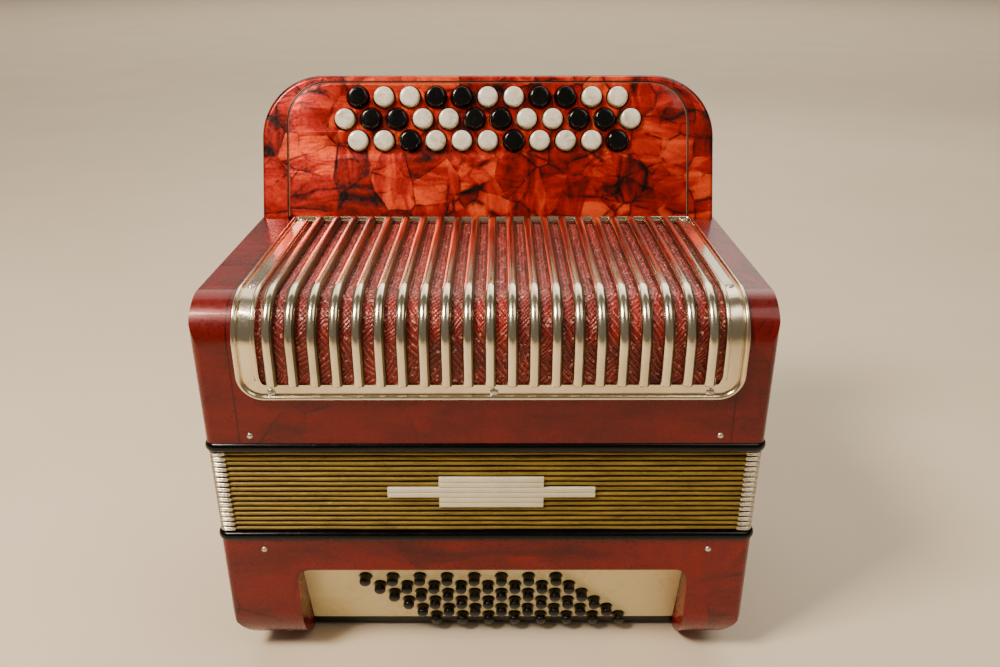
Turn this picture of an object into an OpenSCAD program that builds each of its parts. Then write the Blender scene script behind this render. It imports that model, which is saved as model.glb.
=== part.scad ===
// Three-row button accordion with closed bellows, standing upright on its bass end.
// +X runs along the long side, -Y is the grille side, +Z points from the bass end to the treble end.
// The origin is on the resting plane, under the middle of the instrument.

/* [Body] */
// Length of both casings, end to end
body_w = 340; // [336:1:346]
// Depth of both casings, front to back
body_d = 200; // [198:1:204]
// Thickness of the wooden casing walls
wall = 8; // [7:0.5:9]
// Radius of the upright casing edges
edge_r = 5; // [3:0.5:6]

/* [Bass side] */
// Height of the bass casing
bass_h = 95.5; // [95:0.5:98]
// Half width of the recess between the two feet
recess_half = 127; // [125:0.5:129]
// Height of the recess mouth above the resting plane
recess_h = 72; // [70:0.5:74]
// Depth of the hand recess under the end cover
foot_h = 10; // [9:0.5:12]
// Rounding of the outer bottom corners
foot_r = 27; // [20:1:30]
// Rounding of the lower front and back edges
foot_edge_r = 22; // [16:1:24]
// Backward slope of the button board in degrees
board_tilt = 15.4; // [14:0.2:17]
// Diameter of one bass button
bass_button_d = 7.6; // [7:0.1:8]
// How far the bass buttons stand out of their board
bass_button_out = 7; // [6:0.5:8]
// Travel of the bass buttons
bass_travel = 4; // [3:0.5:4.5]

/* [Bellows] */
// Height of the closed bellows between the two gaskets
bellows_h = 58.8; // [57:0.2:60]
// Number of folds
fold_n = 16; // [14:1:18]
// Height of the gasket bead on each side
gasket_h = 6.5; // [6:0.1:7]

/* [Treble side] */
// Height of the treble casing
treble_h = 89.7; // [89:0.1:91]
// Radius of the long front edge of the treble casing
front_r = 26; // [24:1:28]
// Number of ribs on the grille
rib_n = 21; // [17:2:21]
// Distance from rib to rib
rib_pitch = 12.8; // [12.6:0.1:13]

/* [Fingerboard] */
// Length of the fingerboard along its slope
fb_len = 104; // [102:1:108]
// Width of the fingerboard
fb_w = 338; // [334:1:338]
// Backward lean of the fingerboard in degrees
fb_lean = 22; // [20:0.5:23]
// Thickness of the fingerboard
fb_t = 22; // [22:0.5:24]
// Radius of the top corners of the fingerboard
fb_r = 46; // [40:1:50]

/* [Treble keys] */
// Distance from button to button in a row
key_pitch = 19.4; // [19.2:0.1:19.6]
// Diameter of one treble button
cap_d = 15; // [14.6:0.1:15.2]
// How far the treble buttons stand out of the panel
cap_out = 5; // [4.6:0.1:5.4]

/* [Hidden] */
$fn = 48;
// Depth position of the front face of both casings
y0 = -116;
z_g1 = bass_h;
z_b1 = z_g1 + gasket_h;
z_b2 = z_b1 + bellows_h;
z_t = z_b2 + gasket_h;
z_top = z_t + treble_h;
fold_p = bellows_h / fold_n;
// Foot of the fingerboard's face, measured from the front face and the resting plane
fb_y = 177;
fb_z = z_top + 3;
// Grille: lower edge above the casing bottom, half width, window
gr_z = z_t + 30.1;
gr_half = 149.2;
gr_win = 134.5;
gr_back = 173;
// The grille sits a little to the right of the middle of the casing, and so does the recess of the bass end
gr_x = 3.5;
rec_x = 4;
// Key axle in the fingerboard's own frame: distance up the slope, depth behind the face
ax_s = 2.5;
ax_t = 10.5;
ax_y = fb_y + ax_s * sin(fb_lean) + ax_t * cos(fb_lean);
ax_z = fb_z + ax_s * cos(fb_lean) - ax_t * sin(fb_lean);
axle_r = 2;
axle_fit = 0.05;
// Glue line between the pieces of one assembly
gap = 0.05;
hole_r = cap_d / 2 + 1.1;
panel_t = 3;
// Rows of treble keys: number of keys, distance up the slope, sideways offset of the lever, pallet position
row_n = [11, 12, 11];
row_s = [87.4, 71.2, 55.0];
lever_dx = [3, 0, -3];
pallet_y = [44, 84, 124];
sb_z = z_t + 17;
sb_t = 8;
pallet_h = 5;
arm_z = sb_z + sb_t + pallet_h + 9;
function row_of(k) = k < 11 ? 0 : (k < 23 ? 1 : 2);
function col_of(k) = k < 11 ? k : (k < 23 ? k - 11 : k - 23);
function key_x(k) = (col_of(k) - (row_n[row_of(k)] - 1) / 2) * key_pitch;
// Dark buttons in each row, counted from the left
dark_keys = [0, 3, 4, 7, 8, 12, 13, 16, 17, 20, 21, 25, 29, 33];
function is_dark(k) = len([for (d = dark_keys) if (d == k) d]) > 0;
// Bass button board
bb_y = 28;
bb_z = 8.3;
bb_low = -3.2;
bb_top = 69;
bb_t = 3;
bass_pitch = 18.3;
bass_row = 8.92;
bass_x0 = -81.7;
bass_s0 = 48;
bass_hole_r = bass_button_d / 2 + 0.7;
// Depth of the push bars behind the board's face
bar_t = 7.5;
// Front edge of the end cover's main plate
cover_y = 42;
red = "firebrick";

// ---- shared shapes ----

// Moves the instrument's front-face frame to the origin
module place() { translate([0, y0, 0]) children(); }

// Extrudes a (y, z) outline along x, centred
module along_x(w) { translate([-w / 2, 0, 0]) rotate([90, 0, 90]) linear_extrude(w) children(); }

// Plan outline of a casing, grown by o, with corner radius r
module plan(o, r) {
  translate([-body_w / 2 - o + r, -o]) square([body_w + 2 * o - 2 * r, body_d + 2 * o]);
  translate([-body_w / 2 - o, -o + r]) square([body_w + 2 * o, body_d + 2 * o - 2 * r]);
  for (x = [-1, 1], y = [-o + r, body_d + o - r]) translate([x * (body_w / 2 + o - r), y]) circle(r);
}

// Side outline of the treble casing, grown by o, from height z up
module treble_side(o, z) {
  r = front_r + o;
  translate([front_r, z]) square([body_d + o - front_r, z_top + o - z]);
  translate([-o, z]) square([front_r + o, z_top - front_r - z]);
  translate([front_r, z_top - front_r]) circle(r);
}

// A layer of the grille between two distances from the casing surface
module grille_band(a, b, w, z) {
  difference() {
    along_x(w) treble_side(b, z);
    along_x(w + 2) treble_side(a, z - 1);
    translate([-w, gr_back, z_top - 40]) cube([2 * w, 80, 80]);
    translate([-w, front_r + 1, z_t - 1]) cube([2 * w, body_d, treble_h - 3]);
    translate([-w, -20, z - 60]) cube([2 * w, 300, 60]);
  }
}

// Frame on the fingerboard's face: x sideways, z up the slope, y into the board
module fb() { translate([0, fb_y, fb_z]) rotate([-fb_lean, 0, 0]) children(); }

// Outline of the fingerboard in its own (x, slope) plane
module fb_outline(half, low, top, r) {
  translate([-half, low]) square([2 * half, top - low - r]);
  translate([-half + r, low]) square([2 * half - 2 * r, top - low]);
  for (x = [-1, 1]) translate([x * (half - r), top - r]) circle(r);
}

// A plate of the fingerboard from depth a to depth b
module fb_plate(half, low, top, r, a, b) {
  fb() translate([0, b, 0]) rotate([90, 0, 0]) linear_extrude(b - a) fb_outline(half, low, top, r);
}

// Frame on the bass board's face: x sideways, z up the board, y into the casing
module bb() { translate([0, bb_y, bb_z]) rotate([board_tilt, 0, 0]) children(); }

// ---- treble side ----

module treble_casing() color(red) place() difference() {
  intersection() {
    along_x(body_w) treble_side(0, z_t);
    translate([0, 0, z_t]) linear_extrude(treble_h) plan(0, edge_r);
  }
  intersection() {
    along_x(body_w - 2 * wall) treble_side(-wall, z_t - 1);
    translate([-body_w, -10, z_t - 2]) cube([2 * body_w, body_d - wall + 10, treble_h + 10]);
  }
  // sound window under the grille
  translate([gr_x - gr_win - 3, -1, gr_z + 7]) cube([2 * gr_win + 6, 165, treble_h]);
  // slot for the key levers
  translate([-145, 178, z_top - wall - 1]) cube([290, body_d - wall - 178, wall + 2]);
}

module treble_grille() color("silver") place() translate([gr_x, 0, 0]) {
  difference() {
    grille_band(0, 2.4, 2 * gr_half, gr_z);
    // window
    translate([-gr_win, -20, gr_z + 10]) cube([2 * gr_win, 20 + gr_back - 6, treble_h]);
    // rounded lower corners
    for (x = [-1, 1]) difference() {
      translate([x * (gr_half - 8) - 8.5, -10, gr_z - 1]) cube([17, 11, 17]);
      translate([x * (gr_half - 16), 2, gr_z + 16]) rotate([90, 0, 0]) cylinder(r = 16, h = 14);
      translate([x * (gr_half - 16) - 30 + x * -30, -11, gr_z - 2]) cube([60, 13, 20]);
    }
  }
  // half-round ribs
  for (i = [0 : rib_n - 1]) translate([(i - (rib_n - 1) / 2) * rib_pitch, 0, 0]) grille_rib();
}

// One rib, from the lower strip to the back flange
module grille_rib() {
  difference() {
    grille_band(1.2, 4.4, 6, gr_z + 8);
    translate([-5, gr_back - 4, z_top - 10]) cube([10, 20, 30]);
  }
}

module grille_cloth() color("indianred") place() translate([gr_x, 0, 0]) difference() {
  grille_band(-1, 0, 2 * gr_win + 6, gr_z + 7);
  translate([-200, 163.9, z_top - 20]) cube([400, 60, 40]);
}

module fingerboard_body() color(red) place() difference() {
  fb_plate(fb_w / 2, -14, fb_len, fb_r, 0, fb_t);
  translate([-300, 0, z_top - 60]) cube([600, 400, 60]);
  // rabbet for the button panel
  fb_plate(150, -20, fb_len - 5, 30, -1, panel_t);
  // hollow for the levers
  fb_plate(140, -20, fb_len - 7.5, 22, panel_t - 0.5, fb_t - 3);
}

module fingerboard_panel() color("orangered") place() difference() {
  fb_plate(150, -14, fb_len - 5, 30, 0, panel_t);
  translate([-300, 0, z_top - 60]) cube([600, 400, 60]);
  for (k = [0 : 33]) fb() translate([key_x(k), -1, row_s[row_of(k)]]) rotate([-90, 0, 0]) cylinder(r = hole_r, h = panel_t + 2);
}

module key_axle() color("silver") place() translate([-140, ax_y, ax_z]) rotate([0, 90, 0]) cylinder(r = axle_r, h = 280);

module soundboard() color("burlywood") place() difference() {
  translate([-body_w / 2 + wall, wall, sb_z]) cube([body_w - 2 * wall, body_d - 2 * wall, sb_t]);
  for (k = [0 : 33]) translate([key_x(k) + lever_dx[row_of(k)] - 4, pallet_y[row_of(k)] - 8, sb_z - 1]) cube([8, 16, sb_t + 2]);
}

module treble_reed_blocks() color("tan") place() for (r = [0 : 2]) {
  translate([-118, pallet_y[r] - 11, sb_z - 62]) cube([236, 22, 62]);
  // reed plates on both faces
  for (i = [0 : 10], s = [-1, 1]) translate([(i - 5) * 20 - 8, pallet_y[r] + s * 12 - 1, sb_z - 58]) cube([16, 2, 54]);
}

module gasket(z) translate([0, 0, z]) difference() {
  linear_extrude(gasket_h) plan(1.8, edge_r + 1.8);
  translate([-body_w / 2 + 24, 24, -1]) cube([body_w - 48, body_d - 48, gasket_h + 2]);
}

module treble_gasket() color("black") place() gasket(z_b2);

// Round-head screw or nail head along -y at a point of the front face
module head_y(x, y, z, r) translate([x, y, z]) rotate([90, 0, 0]) rotate_extrude() intersection() {
  translate([0, -r * 0.75]) circle(r * 1.25);
  square([2 * r, r]);
}

// Round-head screw standing on a horizontal face
module head_z(x, y, z, r) translate([x, y, z]) rotate_extrude() intersection() {
  translate([0, -r * 0.75]) circle(r * 1.25);
  square([2 * r, r]);
}

// Strap bracket: a screwed plate with an eye that stands out to the back
module strap_bracket(x) translate([x, body_d, z_t + 44]) {
  translate([-9, 0, -14]) cube([18, 1.6, 28]);
  difference() {
    union() {
      translate([-1.5, 1.6, -8]) cube([3, 6, 16]);
      translate([-1.5, 7.6, 0]) rotate([0, 90, 0]) cylinder(r = 8, h = 3);
    }
    translate([-3, 8.6, 0]) rotate([0, 90, 0]) cylinder(r = 4, h = 6);
    translate([-4, -20, -30]) cube([8, 21.6, 60]);
  }
}

module treble_fittings() color("gainsboro") place() {
  for (x = [-129, 2, 129]) head_y(gr_x + x, -2.4, gr_z + 5.4, 2.2);
  for (x = [-1, 1]) {
    head_z(gr_x + x * 141.8, front_r + 2, z_top + 2.4, 2.2);
    head_z(gr_x + x * 141.8, gr_back - 3.5, z_top + 2.4, 2.2);
    head_y(x * 142, 0, z_t + 5, 1.9);
    translate([x * 142, body_d, z_t + 5]) rotate([0, 0, 180]) head_y(0, 0, 0, 1.9);
    strap_bracket(x * 120);
  }
}

// Treble key: button cap, peg, bell-crank lever with hub, pallet. All turn about the key axle.
module treble_key(k) {
  r = row_of(k);
  x = key_x(k);
  xl = x + lever_dx[r];
  color(is_dark(k) ? "black" : "ivory") place() fb() translate([x, -cap_out, row_s[r]]) rotate([-90, 0, 0]) cylinder(r = cap_d / 2, h = cap_out + panel_t);
  color("ivory") place() fb() translate([xl, panel_t + gap, row_s[r]]) rotate([-90, 0, 0]) cylinder(r = 2.5, h = 5.5 - 2 * gap);
  color("burlywood") place() translate([xl, 0, 0]) along_x(3) difference() {
    union() {
      translate([fb_y, fb_z]) rotate(-fb_lean) translate([8.5, ax_s]) square([4.5, row_s[r] + 4 - ax_s]);
      translate([ax_y, ax_z]) circle(4.5);
      translate([ax_y - 3, arm_z]) square([5.5, ax_z - arm_z - 2]);
      translate([pallet_y[r] - 4, arm_z]) square([ax_y - pallet_y[r] + 6.5, 5]);
    }
    translate([ax_y, ax_z]) circle(axle_r + axle_fit);
  }
  // pallet, and the post between it and the lever
  color("tan") place() translate([xl - 1.5, pallet_y[r] - 4, sb_z + sb_t + pallet_h + gap]) cube([3, 8, arm_z - sb_z - sb_t - pallet_h - 2 * gap]);
  color("saddlebrown") place() translate([xl - 7.5, pallet_y[r] - 12, sb_z + sb_t]) cube([15, 24, pallet_h]);
}

// ---- bellows ----

// One fold frame with its four corners left out
module fold_ring(o, h) difference() {
  linear_extrude(h) plan(o, edge_r);
  translate([-body_w / 2 + 22, 22, -1]) cube([body_w - 44, body_d - 44, h + 2]);
}

module corner_boxes(h, c = 0) for (x = [-1, 1], y = [-5, body_d - 6]) translate([x * (body_w / 2 - 4) - 6.5 + c, y + c, -1]) cube([13 - 2 * c, 11 - 2 * c, h + 2]);

module bellows() {
  color("olive") place() translate([0, 0, z_b1]) {
    linear_extrude(bellows_h) difference() {
      plan(-3, edge_r);
      translate([-body_w / 2 + 22, 22]) square([body_w - 44, body_d - 44]);
    }
    for (i = [0 : fold_n - 1]) translate([0, 0, i * fold_p + 0.3]) difference() {
      fold_ring(-1, fold_p - 0.6);
      corner_boxes(fold_p);
    }
  }
  // metal corner of every fold
  color("silver") place() translate([0, 0, z_b1]) for (i = [0 : fold_n - 1]) translate([0, 0, i * fold_p + 0.3]) intersection() {
    difference() {
      linear_extrude(fold_p - 0.6) plan(-0.4, edge_r);
      translate([0, 0, -1]) linear_extrude(fold_p + 2) plan(-2.9, edge_r);
    }
    corner_boxes(fold_p, 0.1);
  }
}

// ---- bass side ----

module bass_gasket() color("black") place() gasket(z_g1);

// Solid outer form of the bass casing
module bass_form() intersection() {
  along_x(body_w) {
    translate([0, foot_edge_r]) square([body_d, bass_h - foot_edge_r]);
    translate([foot_edge_r, 0]) square([body_d - 2 * foot_edge_r, bass_h]);
    translate([foot_edge_r, foot_edge_r]) circle(foot_edge_r);
    translate([body_d - foot_edge_r, foot_edge_r]) circle(foot_edge_r);
  }
  translate([0, body_d + 1, 0]) rotate([90, 0, 0]) linear_extrude(body_d + 2) {
    translate([-body_w / 2, foot_r]) square([body_w, bass_h - foot_r]);
    translate([-body_w / 2 + foot_r, 0]) square([body_w - 2 * foot_r, bass_h]);
    for (x = [-1, 1]) translate([x * (body_w / 2 - foot_r), foot_r]) circle(foot_r);
  }
  linear_extrude(bass_h) plan(0, edge_r);
}

module bass_casing() color(red) place() difference() {
  union() {
    difference() {
      bass_form();
      translate([-body_w / 2 + wall, wall, foot_h + 8]) cube([body_w - 2 * wall, body_d - 2 * wall, bass_h]);
    }
    // inner cheeks of the feet
    for (x = [-1, 1]) translate([rec_x + x * (recess_half + 3) - 3, 6, foot_h + 4]) cube([6, 39, bass_h - foot_h - 20]);
  }
  // front recess in front of and around the button board
  intersection() {
    bb() translate([rec_x - recess_half, -80, -30]) cube([2 * recess_half, 80 + bb_t, 140]);
    translate([-200, -10, -1]) cube([400, 200, recess_h + 1]);
  }
  // hand recess under the end cover
  translate([rec_x - recess_half, 25, -1]) cube([2 * recess_half, body_d, foot_h + 1]);
  // opening closed by the end cover
  translate([-112, 20, foot_h - 1]) cube([224, 160, 12]);
  translate([-118, cover_y - 1, foot_h - 1]) cube([236, 186 - cover_y + 1, 4]);
}

module bass_button_board() color("palegoldenrod") place() difference() {
  bb() translate([rec_x - recess_half, 0, bb_low]) cube([2 * recess_half, bb_t, bb_top - bb_low]);
  for (r = [0 : 5], c = [0 : 7]) bb() translate([bass_x0 + r * bass_pitch / 2 + c * bass_pitch, -1, bass_s0 - r * bass_row]) rotate([-90, 0, 0]) cylinder(r = bass_hole_r, h = bb_t + 2);
}

// One row of eight bass buttons joined by its push bar behind the board
module bass_row(r) {
  x = bass_x0 + r * bass_pitch / 2;
  s = bass_s0 - r * bass_row;
  color("black") place() bb() {
    for (c = [0 : 7]) translate([x + c * bass_pitch, -bass_button_out, s]) rotate([-90, 0, 0]) bass_button();
    translate([x - 4, bar_t + gap, s - 1.4]) cube([7 * bass_pitch + 8, 2.5, 4.4]);
  }
}

// Button with a domed end, from its tip to its push bar
module bass_button() rotate_extrude() union() {
  translate([0, 1.6]) square([bass_button_d / 2, bass_button_out + bar_t - 1.6]);
  intersection() {
    translate([0, 5.3]) circle(5.3);
    square([bass_button_d / 2, 1.7]);
  }
}

module bass_end_cover() color("black") place() difference() {
  union() {
    translate([-118, cover_y, foot_h]) cube([236, 186 - cover_y, 3]);
    // stepped front lip under the button board
    translate([-118, cover_y, 5.5]) cube([236, 3, foot_h - 5.5 + 3]);
    translate([rec_x - 126, 32.1, 5.5]) cube([252, cover_y - 32.1 + 3, 2]);
  }
  // hole for the air button
  translate([-100, 160, foot_h - 1]) cylinder(r = 5.5, h = 5);
}

module air_button() color("black") place() translate([-100, 160, 0]) {
  translate([0, 0, foot_h - 5]) cylinder(r = 5, h = 8.5);
  translate([0, 0, foot_h + 3.5]) cylinder(r = 8, h = 2.5);
  translate([0, 0, foot_h + 6]) cylinder(r = 2.5, h = 20);
}

module bass_reed_block() color("burlywood") place() {
  difference() {
    translate([-body_w / 2 + wall, wall, bass_h - 14]) cube([body_w - 2 * wall, body_d - 2 * wall, 8]);
    for (i = [0 : 11]) translate([(i - 5.5) * 20 - 4, 146, bass_h - 15]) cube([8, 16, 10]);
  }
  translate([-125, 143, bass_h - 6]) cube([250, 22, 56]);
  for (i = [0 : 11], s = [-1, 1]) translate([(i - 5.5) * 20 - 8, 154 + s * 12 - 1, bass_h - 2]) cube([16, 2, 48]);
}

module bass_action_comb() color("silver") place() {
  // comb plate between the end-cover floor and the bass soundboard
  difference() {
    translate([-122, 96, foot_h + 8]) cube([244, 2.5, bass_h - 14 - foot_h - 8]);
    for (i = [0 : 11]) translate([(i - 5.5) * 20 - 1.5, 95, foot_h + 24]) cube([3, 5, 34]);
  }
  // pallets over the bass tone holes, seen from below the soundboard
  for (i = [0 : 11]) translate([(i - 5.5) * 20 - 7, 142, bass_h - 18]) cube([14, 24, 4]);
}

module hand_strap() color("dimgray") place() {
  // leather band lying flat in the hand recess
  translate([rec_x - recess_half, 62, 1.2]) cube([2 * recess_half, 60, 3.2]);
}

module bass_screws() color("gainsboro") place() {
  for (x = [-1, 1]) {
    head_y(x * 142.5, 0, bass_h - 7, 1.9);
    translate([x * 142.5, body_d, bass_h - 7]) rotate([0, 0, 180]) head_y(0, 0, 0, 1.9);
    for (y = [50, 140, 178]) translate([x * 112, y, foot_h]) rotate([180, 0, 0]) head_z(0, 0, 0, 2.2);
  }
}

// ---- drawing ----

treble_casing();
treble_grille();
grille_cloth();
fingerboard_body();
fingerboard_panel();
key_axle();
soundboard();
treble_reed_blocks();
treble_gasket();
treble_fittings();
bellows();
bass_gasket();
bass_casing();
bass_button_board();
bass_end_cover();
bass_reed_block();
bass_action_comb();
hand_strap();
bass_screws();
air_button();
bass_row(0);  // bass_buttons_row_1
bass_row(1);  // bass_buttons_row_2
bass_row(2);  // bass_buttons_row_3
bass_row(3);  // bass_buttons_row_4
bass_row(4);  // bass_buttons_row_5
bass_row(5);  // bass_buttons_row_6
treble_key(0);  // treble_key_01
treble_key(1);  // treble_key_02
treble_key(2);  // treble_key_03
treble_key(3);  // treble_key_04
treble_key(4);  // treble_key_05
treble_key(5);  // treble_key_06
treble_key(6);  // treble_key_07
treble_key(7);  // treble_key_08
treble_key(8);  // treble_key_09
treble_key(9);  // treble_key_10
treble_key(10);  // treble_key_11
treble_key(11);  // treble_key_12
treble_key(12);  // treble_key_13
treble_key(13);  // treble_key_14
treble_key(14);  // treble_key_15
treble_key(15);  // treble_key_16
treble_key(16);  // treble_key_17
treble_key(17);  // treble_key_18
treble_key(18);  // treble_key_19
treble_key(19);  // treble_key_20
treble_key(20);  // treble_key_21
treble_key(21);  // treble_key_22
treble_key(22);  // treble_key_23
treble_key(23);  // treble_key_24
treble_key(24);  // treble_key_25
treble_key(25);  // treble_key_26
treble_key(26);  // treble_key_27
treble_key(27);  // treble_key_28
treble_key(28);  // treble_key_29
treble_key(29);  // treble_key_30
treble_key(30);  // treble_key_31
treble_key(31);  // treble_key_32
treble_key(32);  // treble_key_33
treble_key(33);  // treble_key_34
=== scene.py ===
import bpy, bmesh, math
import numpy as np
from math import sin, cos, radians, pi
from mathutils import Vector, Matrix


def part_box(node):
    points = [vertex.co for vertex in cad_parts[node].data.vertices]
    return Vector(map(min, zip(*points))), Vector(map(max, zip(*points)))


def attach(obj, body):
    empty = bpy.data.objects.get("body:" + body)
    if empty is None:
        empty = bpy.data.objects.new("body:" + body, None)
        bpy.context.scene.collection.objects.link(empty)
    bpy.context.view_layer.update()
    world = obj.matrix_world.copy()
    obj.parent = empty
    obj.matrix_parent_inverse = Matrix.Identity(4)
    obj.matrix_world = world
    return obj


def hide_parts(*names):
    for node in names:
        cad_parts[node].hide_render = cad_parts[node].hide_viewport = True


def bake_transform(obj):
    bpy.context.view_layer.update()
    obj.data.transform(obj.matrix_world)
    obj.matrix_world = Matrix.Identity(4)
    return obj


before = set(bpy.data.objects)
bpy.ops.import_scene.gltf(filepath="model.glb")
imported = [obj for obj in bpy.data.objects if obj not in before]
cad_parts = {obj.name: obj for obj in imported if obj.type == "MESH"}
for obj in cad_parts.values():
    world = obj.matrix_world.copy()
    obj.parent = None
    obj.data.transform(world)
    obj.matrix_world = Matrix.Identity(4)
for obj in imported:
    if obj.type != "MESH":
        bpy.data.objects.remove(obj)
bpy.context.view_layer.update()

MM = 0.001

# ------------------------------------------------------------------ frame numbers (mm)
BX = [[c / MM for c in p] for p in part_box("treble_casing")]
BB0 = [[c / MM for c in p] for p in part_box("bass_casing")]
GK = [[c / MM for c in p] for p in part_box("treble_gasket")]
BG = [[c / MM for c in p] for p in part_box("bass_gasket")]
BW = BX[1][0] - BX[0][0]                 # casing length
BD = BX[1][1] - BX[0][1]                 # casing depth
Y0 = BX[0][1]                            # front face
Z_T, Z_TOP = BX[0][2], BX[1][2]
Z_G1 = BG[0][2]
Z_B1, Z_B2 = BG[1][2], GK[0][2]
FOLDS = 16
FP = (Z_B2 - Z_B1) / FOLDS
FRONT_R = 26.0
LEAN, TILT = radians(22), radians(15.4)
FB_Y, FB_Z = 177.0, Z_TOP + 3
BBY, BBZ = 28.0, 8.3
GR_Z = [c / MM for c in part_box("treble_grille")[0]][2]
S1 = (Z_TOP - FRONT_R) - GR_Z            # grille: straight front, curve, flat top
S2 = FRONT_R * pi / 2
GR_BACK = 173.0
GX = sum(p[0] for p in (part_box("treble_grille"))) / 2 / MM      # middle of the grille
RX = sum(p[0] for p in (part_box("bass_button_board"))) / 2 / MM  # middle of the bass recess
S3 = GR_BACK - FRONT_R
S_ALL = S1 + S2 + S3
rng = np.random.default_rng(7)


def FBP(p):
    """Fingerboard frame (x, depth, slope) to world mm."""
    p = np.asarray(p, float)
    x, d, s = p[..., 0], p[..., 1], p[..., 2]
    return np.stack([x, FB_Y + d * cos(LEAN) + s * sin(LEAN) + Y0, FB_Z - d * sin(LEAN) + s * cos(LEAN)], -1)


def BBP(p):
    """Bass board frame (x, depth, height) to world mm."""
    p = np.asarray(p, float)
    x, d, s = p[..., 0], p[..., 1], p[..., 2]
    return np.stack([x, BBY + d * cos(TILT) - s * sin(TILT) + Y0, BBZ + d * sin(TILT) + s * cos(TILT)], -1)


def GRP(x, s, h):
    """Grille surface: x, distance along the casing from the lower edge, height over the casing, to world mm."""
    x, s, h = np.broadcast_arrays(np.asarray(x, float), np.asarray(s, float), np.asarray(h, float))
    a = np.clip((s - S1) / FRONT_R, 0, pi / 2)
    y = FRONT_R - (FRONT_R + h) * np.cos(a) + np.maximum(s - S1 - S2, 0)
    z = np.where(s <= S1, GR_Z + s, (Z_TOP - FRONT_R) + (FRONT_R + h) * np.sin(a))
    return np.stack([x + GX, y + Y0, z], -1)


# ------------------------------------------------------------------ mesh helpers
def make(name, verts, faces, mats, idx=None, sharp=38, recalc=True, smooth=True):
    me = bpy.data.meshes.new(name)
    v = np.asarray(verts, float) * MM
    me.from_pydata([tuple(p) for p in v], [], [tuple(int(i) for i in f) for f in faces])
    if not isinstance(mats, (list, tuple)):
        mats = [mats]
    for m in mats:
        me.materials.append(m)
    if idx is not None:
        me.polygons.foreach_set("material_index", np.asarray(idx, dtype=np.int32))
    if recalc:
        bm = bmesh.new(); bm.from_mesh(me)
        bmesh.ops.recalc_face_normals(bm, faces=bm.faces)
        bm.to_mesh(me); bm.free()
    if smooth:
        me.polygons.foreach_set("use_smooth", np.ones(len(me.polygons), dtype=bool))
        me.set_sharp_from_angle(angle=radians(sharp))
    me.update()
    ob = bpy.data.objects.new(name, me)
    bpy.context.scene.collection.objects.link(ob)
    return ob


class Build:
    """Collects closed shells into one mesh."""
    def __init__(self):
        self.v, self.f, self.m, self.n = [], [], [], 0

    def add(self, verts, faces, mat=0):
        verts = np.asarray(verts, float).reshape(-1, 3)
        self.v.append(verts)
        self.f += [tuple(i + self.n for i in f) for f in faces]
        self.m += [mat] * len(faces) if np.isscalar(mat) else list(mat)
        self.n += len(verts)

    def done(self, name, mats, sharp=38):
        return make(name, np.vstack(self.v), self.f, mats, self.m, sharp)


def loft(rings, loop=False):
    """Closed surface through rings (R, N, 3); each ring is closed. Ends are capped unless the rings loop."""
    rings = np.asarray(rings, float)
    R, N = rings.shape[:2]
    faces = []
    for r in range(R if loop else R - 1):
        a, b = r * N, ((r + 1) % R) * N
        for i in range(N):
            j = (i + 1) % N
            faces.append((a + i, a + j, b + j, b + i))
    if not loop:
        faces.append(tuple(range(N))[::-1])
        faces.append(tuple(range((R - 1) * N, R * N)))
    return rings.reshape(-1, 3), faces


def lathe(profile, n=32):
    """Profile [(r, h)] from axis to axis, closed; returns (x, y, h) rings round the third axis."""
    verts, faces = [], []
    a = np.linspace(0, 2 * pi, n, endpoint=False)
    verts.append([0, 0, profile[0][1]])
    for r, h in profile:
        if r > 1e-6:
            verts += [[r * cos(t), r * sin(t), h] for t in a]
    verts.append([0, 0, profile[-1][1]])
    k = (len(verts) - 2) // n
    for i in range(n):
        j = (i + 1) % n
        faces.append((0, 1 + j, 1 + i))
        for q in range(k - 1):
            o = 1 + q * n
            faces.append((o + i, o + j, o + n + j, o + n + i))
        o = 1 + (k - 1) * n
        faces.append((o + i, o + j, len(verts) - 1))
    return np.array(verts, float), faces


def rbox(lo, hi, r=0.6, seg=2):
    """Box with rounded edges."""
    bm = bmesh.new()
    bmesh.ops.create_cube(bm, size=1)
    lo, hi = np.array(lo, float), np.array(hi, float)
    for v in bm.verts:
        v.co = Vector(((lo + hi) / 2 + np.array(v.co) * (hi - lo)).tolist())
    bmesh.ops.bevel(bm, geom=bm.edges[:], offset=min(r, (hi - lo).min() * 0.48), segments=seg, affect="EDGES", profile=0.5)
    verts = np.array([tuple(v.co) for v in bm.verts])
    faces = [tuple(v.index for v in f.verts) for f in bm.faces]
    bm.free()
    return verts, faces


def plate(name, outlines, thick, bevel, mats, place, res=2):
    """Flat plate with holes: outlines are (x, y) loops, the first outside. z runs 0..thick, then place maps the points."""
    cu = bpy.data.curves.new(name, "CURVE")
    cu.dimensions = "2D"; cu.fill_mode = "BOTH"
    cu.extrude = thick / 2 - bevel; cu.bevel_depth = bevel; cu.bevel_resolution = res; cu.offset = -bevel
    for pts in outlines:
        sp = cu.splines.new("POLY")
        sp.points.add(len(pts) - 1)
        for q, (x, y) in zip(sp.points, pts):
            q.co = (x, y, 0, 1)
        sp.use_cyclic_u = True
    tmp = bpy.data.objects.new(name + "_c", cu)
    bpy.context.scene.collection.objects.link(tmp)
    bpy.context.view_layer.update()
    me = bpy.data.meshes.new_from_object(tmp.evaluated_get(bpy.context.evaluated_depsgraph_get()))
    bpy.data.objects.remove(tmp); bpy.data.curves.remove(cu)
    bm = bmesh.new(); bm.from_mesh(me)
    bmesh.ops.remove_doubles(bm, verts=bm.verts, dist=1e-4)
    v = np.array([tuple(p.co) for p in bm.verts]); v[:, 2] += thick / 2
    f = [tuple(q.index for q in fc.verts) for fc in bm.faces]
    bm.free(); bpy.data.meshes.remove(me)
    return make(name, place(v), f, mats, sharp=30)


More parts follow.
